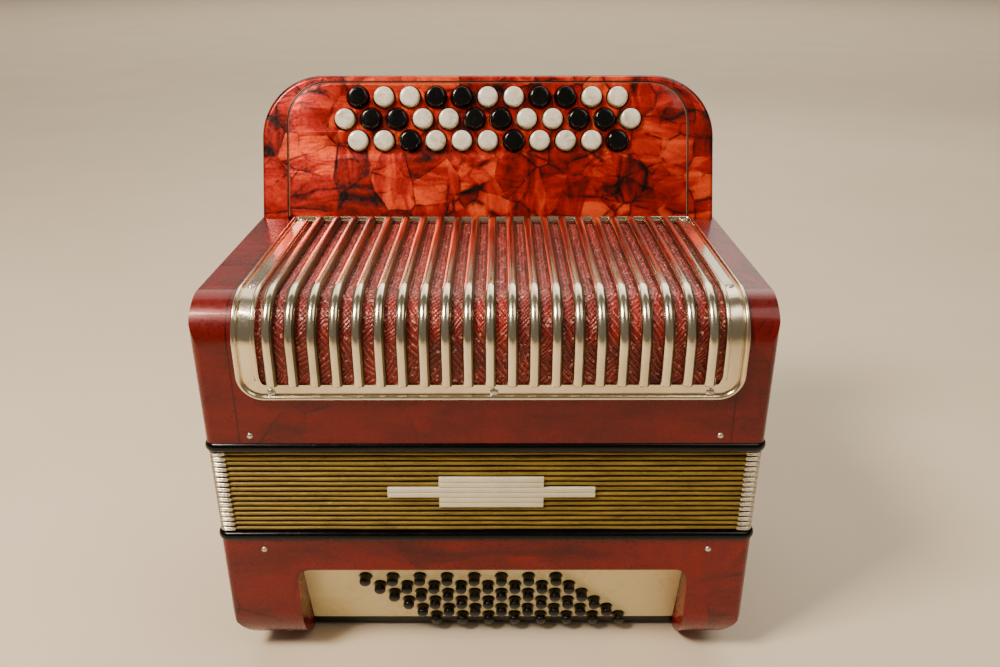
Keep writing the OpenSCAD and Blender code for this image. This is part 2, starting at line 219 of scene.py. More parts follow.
def rrect(x0, x1, y0, y1, r, nc=10, straight=0):
    """Rounded rectangle loop; r is one radius or four (x0y0, x1y0, x1y1, x0y1)."""
    rr = [r] * 4 if np.isscalar(r) else r
    cs = [(x0 + rr[0], y0 + rr[0], pi, rr[0]), (x1 - rr[1], y0 + rr[1], 1.5 * pi, rr[1]),
          (x1 - rr[2], y1 - rr[2], 0, rr[2]), (x0 + rr[3], y1 - rr[3], 0.5 * pi, rr[3])]
    out = []
    for k, (cx, cy, a, q) in enumerate(cs):
        for i in range(nc + 1):
            t = a + pi / 2 * i / nc
            out.append((cx + q * cos(t), cy + q * sin(t)))
        if straight:
            nx = cs[(k + 1) % 4]
            p0 = np.array(out[-1]); p1 = np.array((nx[0] + nx[3] * cos(nx[2]), nx[1] + nx[3] * sin(nx[2])))
            for i in range(1, straight + 1):
                out.append(tuple(p0 + (p1 - p0) * i / (straight + 1)))
    return np.array(out)


def hexc(h):
    c = [int(h[i:i + 2], 16) / 255 for i in (1, 3, 5)]
    return tuple(x / 12.92 if x <= 0.04045 else ((x + 0.055) / 1.055) ** 2.4 for x in c) + (1,)


# ------------------------------------------------------------------ materials
class Mat:
    def __init__(self, name, **bsdf):
        self.m = bpy.data.materials.new(name); self.m.use_nodes = True
        self.t = self.m.node_tree; self.b = self.t.nodes["Principled BSDF"]
        for k, v in bsdf.items():
            self.b.inputs[k.replace("_", " ")].default_value = v
        self.co = self.node("ShaderNodeTexCoord").outputs["Object"]

    def node(self, kind, ins=None, **props):
        n = self.t.nodes.new(kind)
        for k, v in props.items():
            setattr(n, k, v)
        for k, v in (ins or {}).items():
            self.put(n.inputs[k], v)
        return n

    def put(self, sock, v):
        if hasattr(v, "links"):
            self.t.links.new(v, sock)
        else:
            sock.default_value = v

    def map(self, scale=(1, 1, 1), rot=(0, 0, 0), loc=(0, 0, 0), vec=None):
        n = self.node("ShaderNodeMapping", {"Vector": vec or self.co, "Scale": scale, "Rotation": rot, "Location": loc})
        return n.outputs[0]

    def noise(self, scale, detail=3, rough=0.5, dist=0.0, vec=None, out="Fac"):
        return self.node("ShaderNodeTexNoise", {"Vector": vec or self.co, "Scale": scale, "Detail": detail, "Roughness": rough, "Distortion": dist}).outputs[out]

    def voro(self, scale, feature="F1", vec=None, out="Distance", rand=1.0):
        return self.node("ShaderNodeTexVoronoi", {"Vector": vec or self.co, "Scale": scale, "Randomness": rand}, feature=feature).outputs[out]

    def wave(self, scale, dist=0, detail=2, dscale=1.0, vec=None, axis="X", kind="BANDS", prof="SIN"):
        n = self.node("ShaderNodeTexWave", {"Vector": vec or self.co, "Scale": scale, "Distortion": dist, "Detail": detail, "Detail Scale": dscale}, wave_type=kind, wave_profile=prof)
        if kind == "BANDS":
            n.bands_direction = axis
        return n.outputs["Fac"]

    def ramp(self, fac, stops, interp="LINEAR"):
        n = self.node("ShaderNodeValToRGB", {"Fac": fac})
        cr = n.color_ramp; cr.interpolation = interp
        while len(cr.elements) < len(stops):
            cr.elements.new(0.5)
        for e, (p, c) in zip(cr.elements, stops):
            e.position = p
            e.color = c if not isinstance(c, str) else hexc(c)
        return n.outputs["Color"]

    def rng(self, fac, a, b, lo=0.0, hi=1.0):
        return self.node("ShaderNodeMapRange", {"Value": fac, "From Min": lo, "From Max": hi, "To Min": a, "To Max": b}).outputs[0]

    def mix(self, fac, a, b, mode="MIX"):
        n = self.node("ShaderNodeMix", data_type="RGBA", blend_type=mode)
        self.put(n.inputs[0], fac); self.put(n.inputs[6], a); self.put(n.inputs[7], b)
        return n.outputs[2]

    def math(self, op, a, b=0.5):
        n = self.node("ShaderNodeMath", operation=op)
        self.put(n.inputs[0], a); self.put(n.inputs[1], b)
        return n.outputs[0]

    def vadd(self, a, b, k=1.0):
        s = self.node("ShaderNodeVectorMath", operation="SCALE"); self.put(s.inputs[0], b); s.inputs[3].default_value = k
        n = self.node("ShaderNodeVectorMath", operation="ADD"); self.put(n.inputs[0], a); self.put(n.inputs[1], s.outputs[0])
        return n.outputs[0]

    def bump(self, h, dist, strength=1.0, normal=None):
        n = self.node("ShaderNodeBump", {"Height": h, "Distance": dist, "Strength": strength})
        if normal is not None:
            self.t.links.new(normal, n.inputs["Normal"])
        return n.outputs[0]

    def set(self, **k):
        for a, v in k.items():
            self.put(self.b.inputs[a.replace("_", " ")], v)
        return self.m


def pearloid(name, bright, mid, dark, black, size, streak, crack, gloss, metal, smoke, swing, facet, cover, smear=0.0, seams=()):
    """Pearl celluloid: silky facets, each with its own streak direction, with dark crackle lines and smoke along their edges."""
    m = Mat(name, Coat_Weight=0.35, Coat_Roughness=0.06, Coat_IOR=1.4, IOR=1.38)
    warp = m.noise(1 / (size * 1.5), 2, 0.5, out="Color")
    co = m.vadd(m.co, warp, size * 0.4)
    v1 = m.vadd(m.map((1.25, 0.8, 0.85), (0.3, 0.6, 0.2)), warp, size * 0.30)
    v2 = m.vadd(m.map((0.5, 1.3, 0.95), (0.7, -0.4, 0.9)), warp, size * 0.35)
    c1, c2 = size * 1.25, size * 0.70
    e1, e2 = m.voro(1 / c1, "DISTANCE_TO_EDGE", vec=v1), m.voro(1 / c2, "DISTANCE_TO_EDGE", vec=v2)
    f1 = m.node("ShaderNodeSeparateColor", {"Color": m.voro(1 / c1, out="Color", vec=v1)}).outputs
    f2 = m.node("ShaderNodeSeparateColor", {"Color": m.voro(1 / c2, out="Color", vec=v2)}).outputs
    a1 = m.noise(1 / streak, 3, 0.52, 0.8, vec=m.map((0.30, 1.9, 1.3), (0.5, 0.3, 0.9), vec=co))
    a2 = m.noise(1 / streak, 3, 0.52, 0.7, vec=m.map((1.9, 0.45, 0.4), (0.2, 0.9, -0.6), vec=co))
    a3 = m.noise(1 / streak, 3, 0.52, 0.7, vec=m.map((1.3, 0.4, 2.0), (-0.7, 0.4, 0.3), vec=co))
    st = m.mix(m.rng(f1[0], 0, 1, 0.30, 0.36), a1, a2)
    st = m.mix(m.rng(f1[0], 0, 1, 0.64, 0.70), st, a3)
    tone = m.math("ADD", m.rng(st, 0.5 - swing / 4, 0.5 + swing / 4, 0.30, 0.70), m.rng(f1[1], -0.17 * facet, 0.17 * facet))
    tone = m.math("ADD", tone, m.rng(f2[1], -0.11 * facet, 0.11 * facet))
    tone = m.math("ADD", tone, m.rng(m.noise(1 / (size * 4.5), 2, 0.5), -0.14 * facet, 0.14 * facet, 0.32, 0.68))
    k1 = m.rng(m.noise(1 / (size * 1.1), 3, 0.6, vec=m.map(loc=(3, 1, 2))), 0, 1, cover, cover + 0.12)
    k2 = m.rng(m.noise(1 / (size * 0.9), 3, 0.6, vec=m.map(loc=(1, 5, 2))), 0, 1, cover + 0.07, cover + 0.18)
    l1 = m.math("MULTIPLY", m.rng(e1, 1, 0, 0.0002 / c1, 0.0009 / c1), k1)
    l2 = m.math("MULTIPLY", m.rng(e2, 1, 0, 0.0002 / c2, 0.0008 / c2), k2)
    s1 = m.math("MULTIPLY", m.rng(e1, 1, 0, 0.0, 0.0042 / c1), k1)
    s2 = m.math("MULTIPLY", m.rng(e2, 1, 0, 0.0, 0.0034 / c2), k2)
    tone = m.math("SUBTRACT", tone, m.math("MULTIPLY", m.math("ADD", s1, s2), smoke))
    col = m.ramp(tone, [(0.0, black), (0.16, dark), (0.50, mid), (0.82, bright), (1.0, bright)])
    col = m.mix(m.math("MULTIPLY", m.math("MAXIMUM", l1, l2), crack), col, hexc(black))
    if smear:
        # soft dark smears in the sheet
        sm1 = m.noise(26, 4, 0.6, 0.8, vec=m.map((0.35, 1.6, 1.7), (0.1, 0.35, 0.2), vec=co))
        sm2 = m.noise(30, 4, 0.6, 0.8, vec=m.map((0.5, 1.4, 2.2), (0.2, -0.6, 0.1), vec=co))
        mask = m.math("MAXIMUM", m.rng(sm1, 0, 1, 0.57, 0.72), m.rng(sm2, 0, 1, 0.60, 0.74))
        col = m.mix(m.math("MULTIPLY", mask, smear), col, hexc("#1e0606"))
    for axis, at, half in seams:
        # a thin lap joint of the celluloid sheet
        xyz = m.node("ShaderNodeSeparateXYZ", {"Vector": m.co}).outputs[axis]
        d = m.math("ABSOLUTE", m.math("SUBTRACT", m.math("ABSOLUTE", xyz), at))
        line = m.rng(d, 1, 0, half * 0.5, half)
        col = m.mix(m.math("MULTIPLY", line, 0.8), col, hexc("#120303"))
    bm = m.bump(m.math("ADD", m.math("MULTIPLY", st, 0.9), m.math("MULTIPLY", f1[2], 0.12)), 0.0012, 0.40)
    fine = m.noise(420, 2, 0.5)
    return m.set(Base_Color=col, Normal=bm, Metallic=metal, Roughness=m.rng(fine, gloss, gloss + 0.12, 0.3, 0.7))


def wood(name, light, dark, scale=28, rot=(0, 0, 0), rough=0.55):
    m = Mat(name, IOR=1.45)
    v = m.map((1, 9, 9), rot)
    g = m.noise(scale, 5, 0.62, 0.6, vec=v)
    w = m.wave(26, 7, 3, 1.4, vec=m.map((0.6, 5, 5), rot))
    col = m.ramp(m.math("ADD", m.math("MULTIPLY", g, 0.7), m.math("MULTIPLY", w, 0.3)), [(0.25, dark), (0.62, light), (0.85, light)])
    fib = m.noise(900, 2, 0.6, vec=m.map((0.15, 1, 1), rot))
    return m.set(Base_Color=col, Roughness=m.rng(g, rough - 0.1, rough + 0.15), Normal=m.bump(fib, 0.0003, 0.5))


def metal(name, base, tint, rough=0.2, wear=0.5, scale=60, brushed=(1, 1, 1)):
    m = Mat(name, Metallic=1.0, IOR=1.6)
    big = m.noise(scale * 0.4, 4, 0.6, 0.4)
    fine = m.noise(scale * 14, 3, 0.6, vec=m.map(brushed))
    spots = m.voro(scale * 2.2, out="Distance")
    col = m.mix(m.rng(big, 0, wear, 0.42, 0.72), hexc(base), hexc(tint))
    col = m.mix(m.rng(spots, 0.30, 0, 0.03, 0.10), col, hexc(tint))
    r = m.math("ADD", m.rng(big, 0.0, 0.12, 0.35, 0.7), m.rng(fine, rough * 0.75, rough * 1.35, 0.3, 0.7))
    return m.set(Base_Color=col, Roughness=r, Normal=m.bump(fine, 0.00006, 0.35))


def plastic(name, c1, c2, rough=0.25, coat=0.4, scale=90, grain=0.00008, ior=1.5):
    m = Mat(name, Coat_Weight=coat, Coat_Roughness=0.08, IOR=ior)
    a = m.noise(scale, 4, 0.6)
    dust = m.noise(1300, 2, 0.7)
    scr = m.noise(240, 3, 0.7, 0.8, vec=m.map((1, 0.12, 0.6), (0.2, 0.5, 0.9)))
    col = m.ramp(a, [(0.3, c1), (0.7, c2)])
    r = m.math("ADD", m.rng(a, rough * 0.7, rough * 1.3, 0.3, 0.7), m.rng(scr, 0, 0.16, 0.55, 0.75))
    return m.set(Base_Color=col, Roughness=r, Normal=m.bump(m.math("ADD", dust, m.math("MULTIPLY", a, 0.8)), grain, 0.4))


M = {}
M["board_red"] = pearloid("pearloid_bright", "#f8521e", "#b81a0a", "#640703", "#100202", 0.024, 0.020, 0.85, 0.24, 0.40, 0.12, 1.35, 1.0, 0.415, 0.25)
# painted shade: the casings use darker copies of the fingerboard's red celluloid; their darker tone stands in for the
# shade on faces turned from the light, while their softer, smokier pattern is their own
M["case_red"] = pearloid("pearloid_case_painted_shade", "#780c07", "#640906", "#4a0504", "#0a0101", 0.046, 0.040, 0.6, 0.24, 0.18, 0.10, 0.8, 0.5, 0.56, 0.55,
                         seams=[(0, 0.1486, 0.00055)])
M["bass_red"] = pearloid("pearloid_bass_painted_shade", "#84110b", "#700c08", "#500604", "#0a0101", 0.046, 0.040, 0.6, 0.24, 0.18, 0.10, 0.8, 0.5, 0.56, 0.6)
M["nickel"] = metal("nickel_plate", "#ece0c6", "#a8946e", 0.12, 0.40)
# painted shade: a darker nickel for the rib faces that stand in for the dark reflection on one side of the grille ribs
M["tarnish"] = metal("nickel_tarnished", "#75694e", "#463d2a", 0.30, 0.6)
M["steel"] = metal("steel", "#d5d0c6", "#8c7f6c", 0.22, 0.5, 80)
M["corner"] = metal("corner_nickel", "#efe8d8", "#b3a486", 0.2, 0.5, 90)
M["alu"] = metal("aluminium_sheet", "#c9c9c6", "#9a9a96", 0.32, 0.4, 50, (0.05, 1, 1))
M["wood"] = wood("spruce", "#c9a070", "#8f6638")
M["wood2"] = wood("maple", "#d6b182", "#a67c4c", 20)
M["black"] = plastic("black_celluloid", "#010102", "#040304", 0.18, 0.05, ior=1.33)
M["blackkey"] = plastic("black_key_caps", "#020202", "#060505", 0.15, 0.15, ior=1.4)
M["cover"] = plastic("black_painted_cover", "#080707", "#0f0e0d", 0.42, 0.05, 60, 0.0003)
M["cream"] = plastic("cream_celluloid", "#eedb9c", "#f6e8b4", 0.3, 0.25, 24)
M["inlay"] = plastic("cream_inlay", "#ded4b4", "#ebe3c8", 0.42, 0.15, 60)
M["inlay_line"] = plastic("inlay_line", "#6e3c26", "#8a5638", 0.45, 0.1, 80)
M["line_dark"] = plastic("inlay_line_dark", "#120606", "#1c0a09", 0.4, 0.2, 80)


def pearl():
    m = Mat("mother_of_pearl", Coat_Weight=0.6, Coat_Roughness=0.05, IOR=1.53)
    w = m.noise(120, 3, 0.6, out="Color")
    v = m.vadd(m.co, w, 0.008)
    ns = m.noise(150, 4, 0.6, 1.5, vec=m.map((0.35, 1.4, 1.0), (0.2, 0.5, 0.8), vec=v))
    cloud = m.noise(85, 3, 0.55, 0.8, vec=m.map((1.4, 0.6, 0.9), (0.9, 0.1, 0.4), vec=v))
    tone = m.math("ADD", m.math("MULTIPLY", ns, 0.55), m.math("MULTIPLY", cloud, 0.55))
    col = m.ramp(tone, [(0.36, "#b9a888"), (0.48, "#e2d8bc"), (0.60, "#f5efdf"), (0.8, "#fdf9f0")])
    return m.set(Base_Color=col, Metallic=0.08, Roughness=m.rng(ns, 0.14, 0.3, 0.3, 0.7), Normal=m.bump(tone, 0.0006, 0.35))


def pearl_side():
    m = Mat("pearl_side", Coat_Weight=0.4, Coat_Roughness=0.12, IOR=1.5)
    ns = m.noise(300, 3, 0.6)
    col = m.ramp(ns, [(0.3, "#c9b873"), (0.7, "#ddd09a")])
    return m.set(Base_Color=col, Roughness=m.rng(ns, 0.24, 0.4), Normal=m.bump(ns, 0.0001, 0.3))


def cloth():
    m = Mat("grille_cloth", IOR=1.5, Sheen_Weight=0.15, Sheen_Roughness=0.4)
    v = m.vadd(m.co, m.noise(26, 3, 0.55, out="Color"), 0.006)
    w1 = m.wave(205, 0.8, 2, 1.5, vec=m.map((1, 1, 1), (0, 0.78, 0), vec=m.vadd(m.co, m.noise(60, 2, out="Color"), 0.001)), axis="X")
    w2 = m.wave(205, 0.8, 2, 1.5, vec=m.map((1, 1, 1), (0, -0.78, 0)), axis="X")
    arcs = m.wave(150, 16, 1, 0.22, vec=m.map((0.6, 0.9, 0.9), (0, 0.5, 0), vec=v), axis="X")
    arcs2 = m.wave(165, 18, 1, 0.24, vec=m.map((0.9, 0.8, 0.8), (0.2, -0.9, 0.3), vec=v), axis="X")
    patch = m.noise(34, 3, 0.6, 0.5)
    which = m.rng(m.noise(55, 2, 0.5, vec=m.map(loc=(1, 3, 6))), 0, 1, 0.46, 0.54)
    arc = m.mix(which, arcs, arcs2)
    spark = m.node("ShaderNodeSeparateColor", {"Color": m.voro(900, out="Color")}).outputs
    weave = m.math("MULTIPLY", m.math("ADD", w1, w2), 0.5)
    col = m.ramp(m.math("ADD", m.math("MULTIPLY", weave, 0.35), m.math("MULTIPLY", patch, 0.65)), [(0.28, "#380403"), (0.5, "#7a0c07"), (0.72, "#b01c0c")])
    line = m.math("MULTIPLY", m.rng(arc, 0, 1, 0.66, 0.96), m.rng(patch, 0.25, 1.0, 0.38, 0.58))
    line = m.math("MULTIPLY", line, m.rng(spark[1], 0.35, 1.0, 0.2, 0.7))
    # the pale arcs are partly the cloth's wavy thread pattern and partly painted sheen
    col = m.mix(m.math("MULTIPLY", line, 0.5), col, hexc("#e09c88"))
    # painted glints: scattered tiny cells are mixed toward pale pink
    col = m.mix(m.rng(spark[0], 0, 0.6, 0.93, 0.98), col, hexc("#ffc0a8"))
    bm = m.bump(m.math("ADD", m.math("MULTIPLY", weave, 0.5), m.math("MULTIPLY", arc, 0.5)), 0.0006, 0.7)
    return m.set(Base_Color=col, Metallic=m.rng(line, 0.12, 0.6), Roughness=m.rng(spark[1], 0.26, 0.5), Normal=bm)


def tape():
    m = Mat("bellows_tape", IOR=1.48, Coat_Weight=0.12, Coat_Roughness=0.35)
    a = m.noise(70, 5, 0.65, 0.5, vec=m.map((0.5, 0.5, 2.5)))
    grain = m.voro(1500, out="Distance")
    fleck = m.noise(520, 3, 0.75, vec=m.map((0.5, 0.5, 1.4)))
    col = m.ramp(a, [(0.25, "#5e4a0c"), (0.5, "#82691a"), (0.78, "#9a8026")])
    col = m.mix(m.rng(fleck, 0, 0.65, 0.62, 0.74), col, hexc("#c8aa44"))
    bm = m.bump(grain, 0.00022, 0.5)
    return m.set(Base_Color=col, Metallic=0.3, Roughness=m.rng(a, 0.36, 0.55, 0.3, 0.7), Normal=bm)


# painted shade: a darker gold for the valleys and inner faces of the folds, standing in for the shade deep in the folds
def valley_painted_shade():
    m = Mat("bellows_valley_painted_shade", IOR=1.45)
    a = m.noise(300, 3, 0.6)
    return m.set(Base_Color=m.ramp(a, [(0.3, "#352806"), (0.7, "#57430c")]), Roughness=m.rng(a, 0.7, 0.9), Normal=m.bump(m.voro(1400), 0.0002, 0.5))


def leather():
    m = Mat("strap_leather", IOR=1.48, Coat_Weight=0.12, Coat_Roughness=0.4)
    g = m.voro(620, "DISTANCE_TO_EDGE", vec=m.vadd(m.co, m.noise(300, 2, 0.5, out="Color"), 0.0012))
    a = m.noise(55, 4, 0.6)
    col = m.ramp(a, [(0.3, "#1b1714"), (0.7, "#2c2622")])
    col = m.mix(m.rng(a, 0, 0.35, 0.6, 0.75), col, hexc("#4a3f36"))
    return m.set(Base_Color=col, Roughness=m.rng(a, 0.42, 0.62), Normal=m.bump(m.rng(g, 0, 1, 0, 0.18), 0.00035, 0.6))


def felt(name, c1, c2):
    m = Mat(name, IOR=1.4, Sheen_Weight=0.4)
    a = m.noise(1400, 3, 0.7, 1.0)
    return m.set(Base_Color=m.ramp(a, [(0.3, c1), (0.7, c2)]), Roughness=m.rng(a, 0.85, 0.98), Normal=m.bump(a, 0.0004, 0.6))


M["pearl"], M["pearl_side"], M["cloth"], M["tape"], M["valley"], M["leather"] = pearl(), pearl_side(), cloth(), tape(), valley_painted_shade(), leather()
M["felt"] = felt("pallet_leather", "#8a7a62", "#a8987e")
M["thread"] = felt("stitching", "#b8a888", "#d2c4a4")


def paint(node, mat):
    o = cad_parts[node]
    for s in o.material_slots:
        s.material = mat


# ------------------------------------------------------------------ CAD nodes that stay, with their finish
paint("treble_casing", M["case_red"])
paint("bass_casing", M["bass_red"])
paint("soundboard", M["wood"])
paint("treble_reed_blocks", M["wood2"])
paint("bass_reed_block", M["wood"])
paint("bass_action_comb", M["alu"])
paint("key_axle", M["steel"])


# ------------------------------------------------------------------ treble side
def grille():
    nc = 14
    W2, WIN = 149.2, 134.5
    s1 = S_ALL - 6
    ns = 96

    def path(x0, x1, a, b, rb, rt):
        """Outline in (x, s), matched point for point: bottom, right, top, left."""
        pts = []
        def arc(cx, cy, r, t0):
            for i in range(nc + 1):
                t = t0 + pi / 2 * i / nc
                pts.append((cx + r * cos(t), cy + r * sin(t)))
        def line(p, q, n):
            for i in range(1, n):
                pts.append((p[0] + (q[0] - p[0]) * i / n, p[1] + (q[1] - p[1]) * i / n))
        arc(x0 + rb, a + rb, rb, pi); line((x0 + rb, a), (x1 - rb, a), 60)
        arc(x1 - rb, a + rb, rb, 1.5 * pi); line((x1, a + rb), (x1, b - rt), ns)
        arc(x1 - rt, b - rt, rt, 0); line((x1 - rt, b), (x0 + rt, b), 60)
        arc(x0 + rt, b - rt, rt, pi / 2); line((x0, b - rt), (x0, a + rb), ns)
        return np.array(pts)
    outer = path(-W2, W2, 0, S_ALL, 16, 3)
    inner = path(-WIN, WIN, 10, s1, 2.5, 1.5)
    d = inner - outer
    wid = np.linalg.norm(d, axis=1, keepdims=True); u = d / wid
    N = len(outer)
    # how much of the inner bead there is: whole along the sides, none on the lower strip and the back flange
    amp = np.clip((inner[:, 1] - 11) / 5, 0, 1) * np.clip((s1 - 1 - inner[:, 1]) / 4, 0, 1)
    amp = (amp * amp * (3 - 2 * amp))[:, None]
    rings = []
    def ring(dist, from_inner, h):
        p = (inner - u * dist) if from_inner else (outer + u * dist)
        rings.append(GRP(p[:, 0], p[:, 1], np.broadcast_to(h, (N, 1))[:, 0] if np.ndim(h) else np.full(N, h)))
    ring(0.0, False, 0.02); ring(0.0, False, 0.8)
    for t in np.linspace(180, 0, 11):
        ring(1.75 + 1.7 * cos(radians(t)), False, 0.9 + 2.1 * sin(radians(t)))
    ring(3.7, False, 0.3); ring(4.2, False, 0.3); ring(4.8, False, 1.15)
    ring(3.9, True, 1.2)
    for t in np.linspace(180, 0, 11):
        ring(1.9 - 1.85 * cos(radians(t)), True, 1.2 + amp * 2.3 * sin(radians(t)))
    ring(0.0, True, 0.9); ring(0.0, True, -0.5 + 0 * amp)
    ring(2.0, True, -0.5)
    rr = np.array(rings)
    b = Build()
    v, f = loft(rr, loop=True)
    b.add(v, f)
    # half-round ribs
    a0, a1 = 8.7, s1 + 3.2
    ss = np.unique(np.concatenate([a0 + np.array([0, 0.25, 0.7, 1.3, 2.1]), np.linspace(a0 + 2.6, S1, 8), np.linspace(S1, S1 + S2, 20), np.linspace(S1 + S2, a1 - 1.6, 20), a1 - np.array([1.2, 0.7, 0.25, 0])]))
    for i in range(21):
        x = (i - 10) * 12.8
        rg = []
        for s in ss:
            k = min((s - a0) / 2.2, (a1 - s) / 1.6, 1.0)
            k = math.sqrt(max(1 - (1 - max(k, 0)) ** 2, 0.02))
            th = np.linspace(0, pi, 13)
            px = np.concatenate([3.45 * np.cos(th), [-3.1, 3.1]])
            ph = np.concatenate([1.2 + 3.1 * np.sin(th), [0.55, 0.55]])
            px = px * (0.45 + 0.55 * k); ph = 0.55 + (ph - 0.55) * k
            rg.append(GRP(x + px, s, ph))
        v, f = loft(np.array(rg))
        # painted shade: the lower right flank of each rib, the foot of its left flank and its underside get a darker
        # nickel, standing in for the dark reflection along that side
        b.add(v, f, [1 if (k % 15) in (0, 1, 2, 3, 11, 12, 13, 14) and k < len(f) - 2 else 0 for k in range(len(f))])
    o = b.done("grille", [M["nickel"], M["tarnish"]], 50)
    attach(o, "treble_side"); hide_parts("treble_grille")


grille()


def grille_cloth():
    nx, n = 190, 190
    xs = np.linspace(-136.9, 136.9, nx)
    ss = np.linspace(7.4, S_ALL - 8.5, n)
    X, S = np.meshgrid(xs, ss)
    # the cloth is stretched, with a little relief between the ribs
    h = -0.45 + 0.16 * np.sin(X / 12.8 * 2 * pi) + 0.13 * np.sin(X * 0.9 + 2.2 * np.sin(S * 0.11)) * np.sin(S * 1.25 + 1.7 * np.sin(X * 0.07))
    top = GRP(X, S, h)
    bot = GRP(X, S, h * 0 - 0.98)
    v = np.concatenate([top.reshape(-1, 3), bot.reshape(-1, 3)])
    f = []
    K = nx * n
    for j in range(n - 1):
        for i in range(nx - 1):
            a = j * nx + i
            f.append((a, a + 1, a + nx + 1, a + nx)); f.append((K + a, K + a + nx, K + a + nx + 1, K + a + 1))
    for i in range(nx - 1):
        f.append((i, K + i, K + i + 1, i + 1)); a = (n - 1) * nx + i
        f.append((a, a + 1, K + a + 1, K + a))
    for j in range(n - 1):
        a = j * nx; f.append((a, a + nx, K + a + nx, K + a)); a = j * nx + nx - 1
        f.append((a, K + a, K + a + nx, a + nx))
    o = make("grille_cloth_sheet", v, f, M["cloth"], sharp=70)
    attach(o, "treble_side"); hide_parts("grille_cloth")


grille_cloth()


def fb_loop(half, low, top, r, nc=18, side=10):
    """Fingerboard outline (x, s): square at the foot, round at the top; the same number of points for any size."""
    pts = []
    for i in range(side):
        pts.append((half, low + (top - r - low) * i / side))
    for i in range(nc + 1):
        t = pi / 2 * i / nc; pts.append((half - r + r * cos(t), top - r + r * sin(t)))
    for i in range(1, 16):
        pts.append((half - r - 2 * (half - r) * i / 16, top))
    for i in range(nc + 1):
        t = pi / 2 + pi / 2 * i / nc; pts.append((-half + r + r * cos(t), top - r + r * sin(t)))
    for i in range(1, side + 1):
        pts.append((-half, top - r - (top - r - low) * i / side))
    for i in range(1, 14):
        pts.append((-half + 2 * half * i / 14, low))
    return np.array(pts)


def cut_flat(ob, z):
    """Cuts the mesh flat at a world height and closes it."""
    bm = bmesh.new(); bm.from_mesh(ob.data)
    r = bmesh.ops.bisect_plane(bm, geom=bm.verts[:] + bm.edges[:] + bm.faces[:], plane_co=(0, 0, z * MM), plane_no=(0, 0, 1), clear_inner=True, dist=1e-7)
    ed = [e for e in bm.edges if e.is_boundary]
    bmesh.ops.triangle_fill(bm, edges=ed, use_beauty=True, use_dissolve=False)
    bmesh.ops.recalc_face_normals(bm, faces=bm.faces)
    bm.to_mesh(ob.data); bm.free()
    ob.data.polygons.foreach_set("use_smooth", np.ones(len(ob.data.polygons), dtype=bool))
    ob.data.set_sharp_from_angle(angle=radians(35))


def fingerboard():
    H, T, R, TH = 169.0, 104.0, 46.0, 22.0
    def ring(off, d, h=H, t=T, r=R, low=-14):
        p = fb_loop(h - off, low, t - off, max(r - off, 1.5))
        return FBP(np.stack([p[:, 0], np.full(len(p), d), p[:, 1]], -1))
    rings = []
    ra = 3.2                                            # rounded front edge
    rings.append(ring(0, TH - 3, 140, 96.5, 22))        # inside floor
    rings.append(ring(0, 3.2, 140, 96.5, 22))
    rings.append(ring(0.02, 3.02, 150, 99, 30))         # rabbet
    rings.append(ring(0.02, 0.35, 150, 99, 30))
    rings.append(ring(-0.45, 0.0, 150, 99, 30))
    rings.append(ring(ra, 0.0))
    for a in np.linspace(80, 0, 9):
        rings.append(ring(ra - ra * cos(radians(a)), ra - ra * sin(radians(a))))
    for a in np.linspace(0, 90, 9):
        rings.append(ring(ra - ra * cos(radians(a)), TH - ra + ra * sin(radians(a))))
    rings.append(ring(24, TH))
    v, f = loft(np.array(rings))
    o = make("fingerboard_shell", v, f, M["board_red"])
    cut_flat(o, Z_TOP + 0.02)
    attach(o, "treble_side"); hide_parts("fingerboard_body")
    # edge binding: a dark outer line along both edges
    for nm, d, mat in (("fingerboard_binding_front", 2.2, M["line_dark"]), ("fingerboard_binding_back", TH - 2.2, M["line_dark"])):
        rr = []
        for a in range(8):
            t = 2 * pi * a / 8
            p = fb_loop(H - 0.28 + 0.34 * cos(t), -14, T - 0.28 + 0.34 * cos(t), R - 0.28)
            rr.append(FBP(np.stack([p[:, 0], np.full(len(p), d + 0.7 * sin(t)), p[:, 1]], -1)))
        v, f = loft(np.array(rr), loop=True)
        b = make(nm, v, f, mat); cut_flat(b, Z_TOP + 0.03)
        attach(b, "treble_side")
    # inlay line round the panel, a light and a dark strip
    for nm, off, mat, sl in (("panel_line_light", 0.75, M["inlay_line"], "cream_board"), ("panel_line_dark", -0.35, M["line_dark"], "black_cover")):
        rr = []
        for a in range(10):
            t = 2 * pi * a / 10
            p = fb_loop(150 - off + 0.36 * cos(t), -14, 99 - off + 0.36 * cos(t), 30 - off)
            rr.append(FBP(np.stack([p[:, 0], np.full(len(p), 0.16 + 0.3 * sin(t)), p[:, 1]], -1)))
        v, f = loft(np.array(rr), loop=True)
        b = make(nm, v, f, mat); cut_flat(b, Z_TOP + 2.0)
        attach(b, "treble_side")


fingerboard()

ROW_N, ROW_S, LDX, PY = [11, 12, 11], [87.4, 71.2, 55.0], [3, 0, -3], [44, 84, 124]
DARK = [0, 3, 4, 7, 8, 12, 13, 16, 17, 20, 21, 25, 29, 33]


def row_col(k):
    return (0, k) if k < 11 else ((1, k - 11) if k < 23 else (2, k - 23))


def key_x(k):
    r, c = row_col(k)
    return (c - (ROW_N[r] - 1) / 2) * 19.4


def circle(cx, cy, r, n=40):
    return [(cx + r * cos(2 * pi * i / n), cy + r * sin(2 * pi * i / n)) for i in range(n)]


def panel():
    out = fb_loop(149.5, -2.2, 98.5, 29.5)
    loops = [out] + [np.array(circle(key_x(k), ROW_S[row_col(k)[0]], 8.6)) for k in range(34)]
    o = plate("button_panel", loops, 2.9, 0.45, M["board_red"], lambda v: FBP(np.stack([v[:, 0], 2.95 - v[:, 2], v[:, 1]], -1)))
    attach(o, "treble_side"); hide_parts("fingerboard_panel")


panel()

AXS, AXT = 2.5, 10.5
AX_Y = FB_Y + AXS * sin(LEAN) + AXT * cos(LEAN)
AX_Z = FB_Z + AXS * cos(LEAN) - AXT * sin(LEAN)
SB_TOP = [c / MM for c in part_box("soundboard")[1]][2]
ARM_Z = SB_TOP + 14


